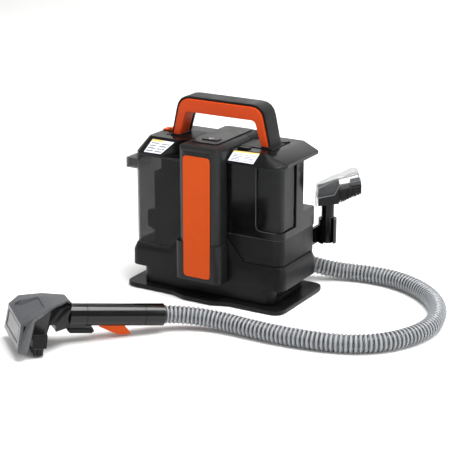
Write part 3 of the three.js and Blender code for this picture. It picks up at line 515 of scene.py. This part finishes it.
def make_hose():
    """The ribbed hose with its spiral and its water tube, and the route they follow."""
    route, length = smooth_route(HOSE_POINTS)
    line = bpy.data.curves.new("hose_line", "CURVE")
    line.dimensions = "3D"
    spline = line.splines.new("POLY")
    spline.points.add(len(route) - 1)
    for point, place in zip(spline.points, route):
        point.co = (*place, 1)
    piece = bpy.data.objects.new("ribbed_hose", line)
    bpy.context.scene.collection.objects.link(piece)
    tree = ribbed_tree()
    ribs = piece.modifiers.new("ribs", "NODES")
    ribs.node_group = tree
    give(ribs, tree, Pitch=RIB_PITCH, Crest_radius=CREST_RADIUS, Root_radius=ROOT_RADIUS, Step=RIB_STEP,
         Sides=20, Skin=hose_skin)
    piece = settled(piece)
    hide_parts("hose")
    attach(piece, "machine")

    # the stiff spiral moulded into the wall, one turn each pitch
    frames = frames_along(route)
    step = length / (len(route) - 1)
    # between two points the spiral turns a seventh of a circle, so it is worked out again more finely
    fine = []
    for i in range(4, len(route) - 5):
        for k in range(3):
            s = i + k / 3
            angle = 2 * math.pi * s * step / RIB_PITCH
            a = frames[i][0].lerp(frames[i + 1][0], k / 3)
            b = frames[i][1].lerp(frames[i + 1][1], k / 3)
            centre = route[i].lerp(route[i + 1], k / 3)
            fine.append(centre + (a * math.cos(angle) + b * math.sin(angle)) * SPIRAL_RADIUS)
    coil = tube_along("hose_spiral", fine, SPIRAL_WIRE, 5, hose_rib)
    inner = tube_along("hose_water_line", [p - Vector((0, 0, 0.004)) for p in route[3:-3:6]], WATER_TUBE,
                       10, hose_line)
    for part in (coil, inner):
        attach(part, "machine")
    return piece, route, length, [coil, inner]


hose, hose_route, hose_length, hose_parts = make_hose()


# ---------------------------------------------------------------- moulded pieces

# each moulded solid, its finish, and the radius of its hard edges in millimetres
MOULDED = [
    ("base_plate", satin_black, 1.2), ("lower_housing", satin_black, 0.9),
    ("column_shell", column_grey, 0.7), ("column_panel", orange, 0.5), ("rear_cover", satin_black, 0.6),
    ("top_panel", top_grey, 0.4), ("power_button", top_grey, 0.5), ("handle_shell", satin_black, 2.2),
    ("handle_grip", orange_soft, 2.0), ("handle_arm_left", satin_black, 0.8),
    ("handle_arm_right", satin_black, 0.8), ("dirty_tank", smoke, 0.7),
    ("dirty_tank_lid", lid_black, 0.7), ("dirty_tank_latch", orange, 0.5),
    ("dirty_tank_pipe", inner_dark, 0.4), ("float", inner_dark, 0.8),
    ("clean_tank_base", satin_black, 0.7), ("clean_tank_shell", gloss_black, 1.1),
    ("clean_tank", smoke_window, 0.5), ("clean_tank_pipe", inner_dark, 0.5),
    ("clean_tank_lid", lid_black, 0.7), ("fill_cap", column_grey, 0.4),
    ("clean_tank_latch", satin_black, 0.4), ("hose_elbow", satin_black, 0.6),
    ("grip_cuff", grip_black, 0.5), ("grip_tube", grip_black, 0.4), ("grip_neck", grip_black, 0.5),
    ("neck_latch", satin_black, 0.7), ("trigger", orange, 0.6), ("nozzle_hood", smoke_hood, 1.2),
    ("nozzle_body", gloss_black, 0.7), ("tool_holder", gloss_black, 0.5),
    ("stain_tool_body", gloss_black, 0.7), ("stain_tool_hood", clear, 0.5), ("cord_gland", rubber, 0.5),
]
made = {}
for part, material, edge in MOULDED:
    made[part] = rounded(part, material, edge)

for part, material in (
        ("foot_pad_1", rubber), ("foot_pad_2", rubber), ("foot_pad_3", rubber), ("foot_pad_4", rubber),
        ("power_switch", inner_dark), ("suction_motor", steel), ("suction_fan", steel),
        ("fan_cover", rubber), ("control_board", board_green), ("water_pump", inner_dark),
        ("tank_valve", rubber), ("trigger_pin", steel), ("spray_tip", steel)):
    nodes[part].data.materials.clear()
    nodes[part].data.materials.append(material)


def live_spring(node):
    """A coil spring in drawn steel, shaded smooth on a mesh of its own, that moves with its node's body."""
    mesh = nodes[node].data.copy()
    work = bmesh.new()
    work.from_mesh(mesh)
    bmesh.ops.remove_doubles(work, verts=work.verts, dist=SAME_PLACE)
    shade_smooth(work, 70)
    work.to_mesh(mesh)
    work.free()
    piece = piece_from(node + "_wire", mesh, steel)
    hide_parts(node)
    fitted(piece, node)
    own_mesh(piece)


live_spring("valve_spring")
live_spring("trigger_spring")


# ---------------------------------------------------------------- thin things laid on the mouldings

def skin_of(mesh):
    """A search tree of a mesh, to lay thin things on it."""
    return BVHTree.FromPolygons([v.co for v in mesh.vertices], [list(f.vertices) for f in mesh.polygons])


def closed_sheet(front, back, faces, rim):
    """Points and faces of a thin closed sheet: front, the same at the back, and a wall round the rim."""
    n = len(front)
    walls = [[a, a + n, b + n, b] for a, b in zip(rim, rim[1:] + rim[:1])]
    return front + back, faces + [[k + n for k in face][::-1] for face in faces] + walls


def ladder(count):
    """Faces and rim of a strip of points that come in pairs."""
    faces = [[2 * i, 2 * i + 2, 2 * i + 3, 2 * i + 1] for i in range(count - 1)]
    return faces, [2 * i for i in range(count)] + [2 * i + 1 for i in range(count - 1, -1, -1)]


def laid_card(name, tree, corners, aim, lift, thick, material, cells=(10, 6)):
    """A thin closed sheet with its own UV map. corners run top left, top right, bottom right, bottom left,
    and the sheet lands where they meet the piece when sent along aim."""
    across, up = cells
    tl, tr, br, bl = (Vector(c) * MM for c in corners)
    hits = []
    for j in range(up + 1):
        for i in range(across + 1):
            start = bl.lerp(br, i / across).lerp(tl.lerp(tr, i / across), j / up)
            hits.append(tree.ray_cast(start, Vector(aim)))
    normal = sum((h[1] for h in hits), Vector()).normalized()
    if normal.dot(Vector(aim)) > 0:
        normal = -normal
    front, back = ([h[0] + normal * depth * MM for h in hits] for depth in (lift, lift - thick))
    row = across + 1
    faces = [[j * row + i, j * row + i + 1, (j + 1) * row + i + 1, (j + 1) * row + i]
             for j in range(up) for i in range(across)]
    rim = list(range(across)) + [j * row + across for j in range(up)]
    rim += [up * row + i for i in range(across, 0, -1)] + [j * row for j in range(up, 0, -1)]
    piece = joined(name, [closed_sheet(front, back, faces, rim)], material)
    uv = piece.data.uv_layers.new(name="card")
    for loop in piece.data.loops:
        k = loop.vertex_index % len(hits)
        uv.data[loop.index].uv = ((k % row) / across, (k // row) / up)
    outward(piece)
    return piece


left_lid = skin_of(made["dirty_tank_lid"].data)
right_lid = skin_of(made["clean_tank_lid"].data)
fitted(laid_card("left_card", left_lid, [(-114.9, -150, 257.5), (-71.5, -150, 257.2), (-89, -150, 238.3),
                 (-122.4, -150, 238.1)], (0, 1, 0), 0.25, 0.35, left_print), "dirty_tank_lid")
fitted(laid_card("right_card", right_lid, [(46, -150, 260), (92.4, -150, 260.2), (90, -150, 246.4),
                 (43, -150, 246.4)], (0, 1, 0), 0.25, 0.35, right_print), "clean_tank_lid")


def painted_edge_highlights(name, node, width, material, least=38, short=2.5, keep=lambda point: True):
    """Fine closed rods, width millimetres across, along a part's hard edges, as painted highlights. Edges
    that turn by less than least degrees or are shorter than short millimetres get none, and keep picks
    among the rest by place."""
    work = bmesh.new()
    work.from_mesh(nodes[node].data)
    bmesh.ops.remove_doubles(work, verts=work.verts, dist=SAME_PLACE)
    bmesh.ops.dissolve_limit(work, angle_limit=FLAT, verts=work.verts, edges=work.edges)
    rods = []
    for edge in work.edges:
        a, b = (v.co.copy() for v in edge.verts)
        if edge.calc_face_angle(0) < math.radians(least) or (b - a).length < short * MM:
            continue
        if not keep((a + b) / 2 / MM):
            continue
        inward = -sum((f.normal for f in edge.link_faces), Vector()).normalized()
        ahead = (b - a).normalized()
        across = ahead.cross(inward)
        half = width / 2 * MM
        corners = [inward * (0.3 * half), across * half + inward * half, inward * (2 * half),
                   inward * half - across * half]
        points = [a + ahead * half + c for c in corners] + [b - ahead * half + c for c in corners]
        faces = [[3, 2, 1, 0], [4, 5, 6, 7]] + [[k, (k + 1) % 4, (k + 1) % 4 + 4, k + 4] for k in range(4)]
        rods.append((points, faces))
    work.free()
    piece = joined(name, rods, material)
    outward(piece)
    fitted(piece, node)


# painted highlights along the hard edges of the clear tanks and hoods
painted_edge_highlights("dirty_tank_edges", "dirty_tank", 0.8, grey_edge_highlight)
painted_edge_highlights("clean_tank_edges", "clean_tank", 0.8, grey_edge_highlight)
painted_edge_highlights("hand_tool_hood_edges", "stain_tool_hood", 0.9, pale_edge_highlight)
painted_edge_highlights("nozzle_hood_edges", "nozzle_hood", 0.5, grey_edge_highlight)
# a painted highlight along the rim of the window cut into the fresh tank's shell
painted_edge_highlights("window_rim_highlight", "clean_tank_shell", 0.9, grey_edge_highlight, least=30, short=1.0,
           keep=lambda spot: spot.y < -59 and 90 < spot.x < 141 and 125 < spot.z < 240)
shell_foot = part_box("clean_tank_shell")[0][2] / MM
# a painted highlight along the shell's foot
painted_edge_highlights("shell_foot_highlight", "clean_tank_shell", 0.8, grey_edge_highlight, least=30, short=0.5,
           keep=lambda spot: spot.z < shell_foot + 0.5 and (spot.y < -55 or spot.x > 138))


def tank_divider():
    """A dark sheet close behind the front wall of the dirty tank, from its crease to its inner side."""
    tree = skin_of(nodes["dirty_tank"].data)
    thick = 0.0012
    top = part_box("dirty_tank")[1][2] - thick
    columns = []
    for i in range(7):
        x = (-89 + i * 7.7) * MM
        wall_y = tree.ray_cast(Vector((x, 0, top - 0.02)), Vector((0, -1, 0)))[0].y
        floor_z = tree.ray_cast(Vector((x, wall_y + 0.002, top - 0.02)), Vector((0, 0, -1)))[0].z
        columns.append((x, wall_y + 0.0006, floor_z + 0.001))
    front, back = ([(x, y + depth, height) for x, y, z in columns for height in (z, top)]
                   for depth in (0, thick))
    piece = joined("tank_divider", [closed_sheet(front, back, *ladder(len(columns)))], inner_dark)
    outward(piece)
    fitted(piece, "dirty_tank_pipe")


tank_divider()


def power_mark():
    """An open ring with a bar, printed on the button."""
    tree = skin_of(made["power_button"].data)
    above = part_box("power_button")[1][2] + 0.01
    middle_y = -41.5
    parts = []
    ring = [math.radians(35 + 290 * k / 28) for k in range(29)]
    inner, outer = [[(r * math.sin(a), r * math.cos(a)) for a in ring] for r in (3.1, 3.9)]
    strips = [list(zip(inner, outer)), [((-0.4, 0.9), (0.4, 0.9)), ((-0.4, 4.4), (0.4, 4.4))]]
    for strip in strips:
        spots = [Vector((x * MM, (middle_y + y) * MM, above)) for pair in strip for x, y in pair]
        hits = [tree.ray_cast(spot, Vector((0, 0, -1)))[0] for spot in spots]
        front, back = ([hit + Vector((0, 0, lift * MM)) for hit in hits] for lift in (0.12, -0.2))
        parts.append(closed_sheet(front, back, *ladder(len(strip))))
    piece = joined("power_mark", parts, mark_white)
    outward(piece)
    fitted(piece, "power_button")


power_mark()


# ---------------------------------------------------------------- bristles and screws

def bristle_tree():
    """Geometry Nodes: a round bunch of tapered filaments at every point, each as long as the point's
    reach, leaning a little its own way."""
    tree = bpy.data.node_groups.new("bristle_bunches", "GeometryNodeTree")
    face = tree.interface
    face.new_socket("Geometry", in_out="INPUT", socket_type="NodeSocketGeometry")
    for name, value in (("Bunch radius", 0.0015), ("Filament radius", 0.00045), ("Lean", 0.07)):
        face.new_socket(name, in_out="INPUT", socket_type="NodeSocketFloat").default_value = value
    for name, value in (("Filaments", 7), ("Seed", 5)):
        face.new_socket(name, in_out="INPUT", socket_type="NodeSocketInt").default_value = value
    face.new_socket("Skin", in_out="INPUT", socket_type="NodeSocketMaterial")
    face.new_socket("Geometry", in_out="OUTPUT", socket_type="NodeSocketGeometry")
    given = put(tree, "NodeGroupInput").outputs
    bunch = put(tree, "GeometryNodeMeshCircle", {
        "Vertices": given["Filaments"], "Radius": given["Bunch radius"]})
    spots = put(tree, "GeometryNodeInstanceOnPoints", {"Points": given["Geometry"],
                "Instance": bunch.outputs["Mesh"]})
    loose = put(tree, "GeometryNodeRealizeInstances", {"Geometry": spots.outputs["Instances"]})
    thin = put(tree, "ShaderNodeMath", {0: given["Filament radius"], 1: 0.7}, operation="MULTIPLY")
    filament = put(tree, "GeometryNodeMeshCone", {"Vertices": 5, "Radius Top": thin.outputs[0],
                   "Radius Bottom": given["Filament radius"], "Depth": 1.0})
    reach = put(tree, "GeometryNodeInputNamedAttribute", {"Name": "reach"}).outputs["Attribute"]
    less = put(tree, "ShaderNodeMath", {0: given["Lean"], 1: -1.0}, operation="MULTIPLY").outputs[0]
    low = put(tree, "ShaderNodeCombineXYZ", {"X": less, "Y": less, "Z": 0.0}).outputs[0]
    high = put(tree, "ShaderNodeCombineXYZ", {"X": given["Lean"], "Y": given["Lean"], "Z": 6.28}).outputs[0]
    lean = put(tree, "FunctionNodeRandomValue", {0: low, 1: high, "Seed": given["Seed"]},
               data_type="FLOAT_VECTOR").outputs[0]
    down = put(tree, "ShaderNodeVectorMath", {0: lean, 1: (math.pi, 0, 0)}, operation="ADD").outputs[0]
    stretch = put(tree, "ShaderNodeCombineXYZ", {"X": 1.0, "Y": 1.0, "Z": reach}).outputs[0]
    brush = put(tree, "GeometryNodeInstanceOnPoints", {"Points": loose.outputs[0], "Instance":
                filament.outputs["Mesh"], "Rotation": down, "Scale": stretch})
    real = put(tree, "GeometryNodeRealizeInstances", {"Geometry": brush.outputs["Instances"]})
    skinned = put(tree, "GeometryNodeSetMaterial", {"Geometry": real.outputs[0], "Material": given["Skin"]})
    put(tree, "NodeGroupOutput", {"Geometry": skinned.outputs[0]})
    return tree


BUNCHES = bristle_tree()


def slab(name, ring, near, far, place, material, node):
    """A closed slab: a ring of (x, z) in millimetres between two y, in a tool's own frame."""
    points = [place @ (Vector((x, y, z)) * MM) for y in (near, far) for x, z in ring]
    n = len(ring)
    faces = [list(range(n)), list(range(2 * n - 1, n - 1, -1))]
    faces += [[a, b, b + n, a + n] for a, b in zip(range(n), [*range(1, n), 0])]
    piece = joined(name, [(points, faces)], material)
    outward(piece)
    fitted(piece, node)


def make_brush(name, node, roots, seed, place, carrier):
    """Bunches hanging from their roots, with the strip that holds them. roots are (x, y, z, reach) and
    carrier a closed outline of (x, z) and two y, all in millimetres in the tool's own frame."""
    mesh = bpy.data.meshes.new(name)
    mesh.from_pydata([(x * MM, y * MM, z * MM) for x, y, z, _ in roots], [], [])
    reach = mesh.attributes.new("reach", "FLOAT", "POINT")
    for k, root in enumerate(roots):
        reach.data[k].value = root[3] * MM
    brush = piece_from(name, mesh)
    bunches = brush.modifiers.new("bunches", "NODES")
    bunches.node_group = BUNCHES
    give(bunches, BUNCHES, Seed=seed, Skin=nylon)
    brush = settled(brush)
    brush.data.transform(place)
    fitted(brush, node)
    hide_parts(node)
    slab(name + "_strip", *carrier, place, nylon, node)


# the frames the hand tool and the stain tool are drawn in, and the height the stain tool stands at
TOOL_PLACE = (Matrix.Translation(Vector((18.7, -223.5, 27.4)) * MM) @ Matrix.Rotation(0.8657, 4, "Z")
              @ Matrix.Rotation(0.1255, 4, "Y"))
HOLDER_PLACE = Matrix.Translation(Vector((147, 97, 0)) * MM) @ Matrix.Rotation(math.radians(30), 4, "Z")
HOLDER_TOP = 147.5

nozzle_roots = [(-213.3 + 5.3 * i + (1.2 if j % 2 else 0), -46 + 3.68 * j, -38.6, 13.2)
                for i in range(3) for j in range(26)]
make_brush("nozzle_bristles", "nozzle_brush", nozzle_roots, 5, TOOL_PLACE,
           ([(-215.3, -37.5), (-200.7, -37.5), (-200.7, -39.4), (-215.3, -39.4)], -48.8, 48.8))

slab("hand_tool_lip", [(37, HOLDER_TOP + 34.4), (54.6, HOLDER_TOP + 38), (55, HOLDER_TOP + 41),
                       (52, HOLDER_TOP + 43.4), (37, HOLDER_TOP + 40.2)], -12.5, 12.5, HOLDER_PLACE,
     lip_grey, "stain_tool_body")

hand_roots = []
for row in range(9):
    share = row / 8
    x = 21 + 32.5 * share
    tip = HOLDER_TOP + 4.4 + (17.6 * (x - 18.4) / 38.6)
    root = HOLDER_TOP + 29.3 + 7.4 * (x - 18.4) / 36.6
    hand_roots += [(x, -13 + 3.25 * j, root, root - tip) for j in range(9)]
make_brush("hand_tool_bristles", "stain_tool_brush", hand_roots, 9, HOLDER_PLACE,
           ([(18.6, HOLDER_TOP + 29.3), (54.6, HOLDER_TOP + 36.7), (54.8, HOLDER_TOP + 34.9),
             (18.6, HOLDER_TOP + 27.5)], -14.8, 14.8))


# ---------------------------------------------------------------- handle collars and case screws

def handle_collars():
    """A low flange round the foot of each handle leg."""
    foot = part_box("handle_arm_left")[1][2] / MM
    leg_x, leg_y, half_x, half_y, sides = 87.5, 4, 8.5, 20, 32
    for name, side in (("handle_collar_left", -1), ("handle_collar_right", 1)):
        rings = []
        for grow, z in ((1.9, foot - 0.4), (1.9, foot + 1.3), (1.2, foot + 2.0), (-1.0, foot + 2.0),
                        (-1.0, foot - 0.4)):
            ring = []
            for k in range(sides):
                t = 2 * math.pi * k / sides
                c, d = math.cos(t), math.sin(t)
                # a squared-off oval, like the leg's own section
                x = (half_x + grow) * math.copysign(abs(c) ** 0.4, c)
                y = (half_y + grow) * math.copysign(abs(d) ** 0.4, d)
                ring.append(Vector((side * leg_x + x, leg_y + y, z)) * MM)
            rings.append(ring)
        points = [q for ring in rings for q in ring]
        # the last ring meets the first, so the flange is closed
        starts = [i * sides for i in range(len(rings))]
        faces = [[here + k, here + (k + 1) % sides, there + (k + 1) % sides, there + k]
                 for here, there in zip(starts, starts[1:] + starts[:1]) for k in range(sides)]
        piece = joined(name, [(points, faces)], satin_black)
        outward(piece, 40)
        fitted(piece, "handle_shell")


handle_collars()


def screw_tree():
    """Geometry Nodes: a domed screw head with a round socket at every point, facing the point's way."""
    tree = bpy.data.node_groups.new("screw_heads", "GeometryNodeTree")
    face = tree.interface
    face.new_socket("Geometry", in_out="INPUT", socket_type="NodeSocketGeometry")
    for name, value in (("Head radius", 0.0032), ("Head height", 0.0012), ("Socket depth", 0.001)):
        face.new_socket(name, in_out="INPUT", socket_type="NodeSocketFloat").default_value = value
    face.new_socket("Skin", in_out="INPUT", socket_type="NodeSocketMaterial")
    face.new_socket("Geometry", in_out="OUTPUT", socket_type="NodeSocketGeometry")
    given = put(tree, "NodeGroupInput").outputs
    head = put(tree, "GeometryNodeMeshCylinder", {"Vertices": 18, "Radius": given["Head radius"],
               "Depth": given["Head height"]})
    flat = head.outputs["Top"]
    for share, down in ((0.86, -0.18), (0.5, 0.0), (1.0, 1.0)):
        drop = put(tree, "ShaderNodeMath", {0: given["Socket depth"], 1: -down}, operation="MULTIPLY")
        grown = put(tree, "GeometryNodeExtrudeMesh", {"Mesh": head.outputs[0], "Selection": flat,
                    "Offset Scale": drop.outputs[0]}, mode="FACES")
        head = put(tree, "GeometryNodeScaleElements", {"Geometry": grown.outputs["Mesh"],
                   "Selection": grown.outputs["Top"], "Scale": share})
        flat = grown.outputs["Top"]
    facing = put(tree, "GeometryNodeInputNamedAttribute", {"Name": "facing"}, data_type="FLOAT_VECTOR")
    turn = put(tree, "FunctionNodeAlignRotationToVector", {"Vector": facing.outputs["Attribute"]}, axis="Z")
    heads = put(tree, "GeometryNodeInstanceOnPoints", {"Points": given["Geometry"],
                "Instance": head.outputs[0], "Rotation": turn.outputs[0]})
    real = put(tree, "GeometryNodeRealizeInstances", {"Geometry": heads.outputs["Instances"]})
    skinned = put(tree, "GeometryNodeSetMaterial", {"Geometry": real.outputs[0], "Material": given["Skin"]})
    put(tree, "NodeGroupOutput", {"Geometry": skinned.outputs[0]})
    return tree


SCREWS = screw_tree()


def screws(name, node, places, aim):
    """Screw heads where places, in millimetres, meet the piece when sent along aim."""
    tree = skin_of(made[node].data)
    spots = []
    for place in places:
        hit = tree.ray_cast(Vector(place) * MM, Vector(aim))[0]
        if hit:
            spots.append(hit - Vector(aim) * 0.0003)
    mesh = bpy.data.meshes.new(name)
    mesh.from_pydata(spots, [], [])
    facing = mesh.attributes.new("facing", "FLOAT_VECTOR", "POINT")
    for value in facing.data:
        value.vector = -Vector(aim)
    piece = piece_from(name, mesh)
    heads = piece.modifiers.new("heads", "NODES")
    heads.node_group = SCREWS
    give(heads, SCREWS, Skin=screw_steel)
    fitted(settled(piece), node)


back_low, back_high = (Vector(corner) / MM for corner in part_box("rear_cover"))
screws("rear_screws", "rear_cover", [(x, back_high.y + 20, z)
       for x in (back_low.x + 9, back_high.x - 9) for z in (back_low.z + 10, back_high.z - 10)], (0, -1, 0))
screws("floor_screws", "base_plate", [(x, y, -20) for x in (-100, 100) for y in (-45, 45)], (0, 0, 1))


# ---------------------------------------------------------------- floor and light

def stage():
    """White studio paper that curves up behind the machine, four soft lights and a white sky."""
    sheet = bpy.data.meshes.new("floor")
    width, front, bend, radius, top = 6.0, -6.0, 2.4, 1.2, 5.0
    profile = [(front, 0.0), (bend, 0.0)]
    profile += [(bend + radius * math.sin(t), radius - radius * math.cos(t)) for t in
                (math.pi / 2 * k / 12 for k in range(1, 13))]
    profile.append((bend + radius, top))
    points = [(x, y, z) for y, z in profile for x in (-width, width)]
    faces = [[2 * i, 2 * i + 1, 2 * i + 3, 2 * i + 2] for i in range(len(profile) - 1)]
    sheet.from_pydata(points, [], faces)
    paper = bpy.data.materials.new("white_studio_paper")
    paper.use_nodes = True
    shader = paper.node_tree.nodes["Principled BSDF"]
    shader.inputs["Base Color"].default_value = linear("#f4f4f3")
    shader.inputs["Roughness"].default_value = 0.9
    floor = piece_from("floor", sheet, paper)

    world = bpy.data.worlds.new("studio")
    bpy.context.scene.world = world
    world.use_nodes = True
    world.node_tree.nodes["Background"].inputs["Color"].default_value = linear("#ffffff")
    world.node_tree.nodes["Background"].inputs["Strength"].default_value = 0.42
    bpy.context.scene.view_settings.view_transform = "Standard"

    def softbox(name, place, aim, size, power):
        lamp = bpy.data.lights.new(name, "AREA")
        lamp.shape = "RECTANGLE"
        lamp.size, lamp.size_y = size
        lamp.energy = power
        box = bpy.data.objects.new(name, lamp)
        box.location = place
        box.rotation_euler = (Vector(aim) - Vector(place)).to_track_quat("-Z", "Y").to_euler()
        bpy.context.scene.collection.objects.link(box)

    softbox("overhead", (0.75, -0.1, 2.4), (0.2, 0, 0), (1.6, 1.8), 100)
    softbox("backdrop", (0.0, 1.5, 2.6), (0, 3.6, 0.9), (3.4, 0.8), 52)
    softbox("left_front", (-1.9, -1.7, 1.5), (0, 0, 0.15), (0.9, 1.6), 16)
    softbox("right_side", (2.2, -0.2, 1.0), (0, 0, 0.15), (0.8, 1.6), 16)


stage()
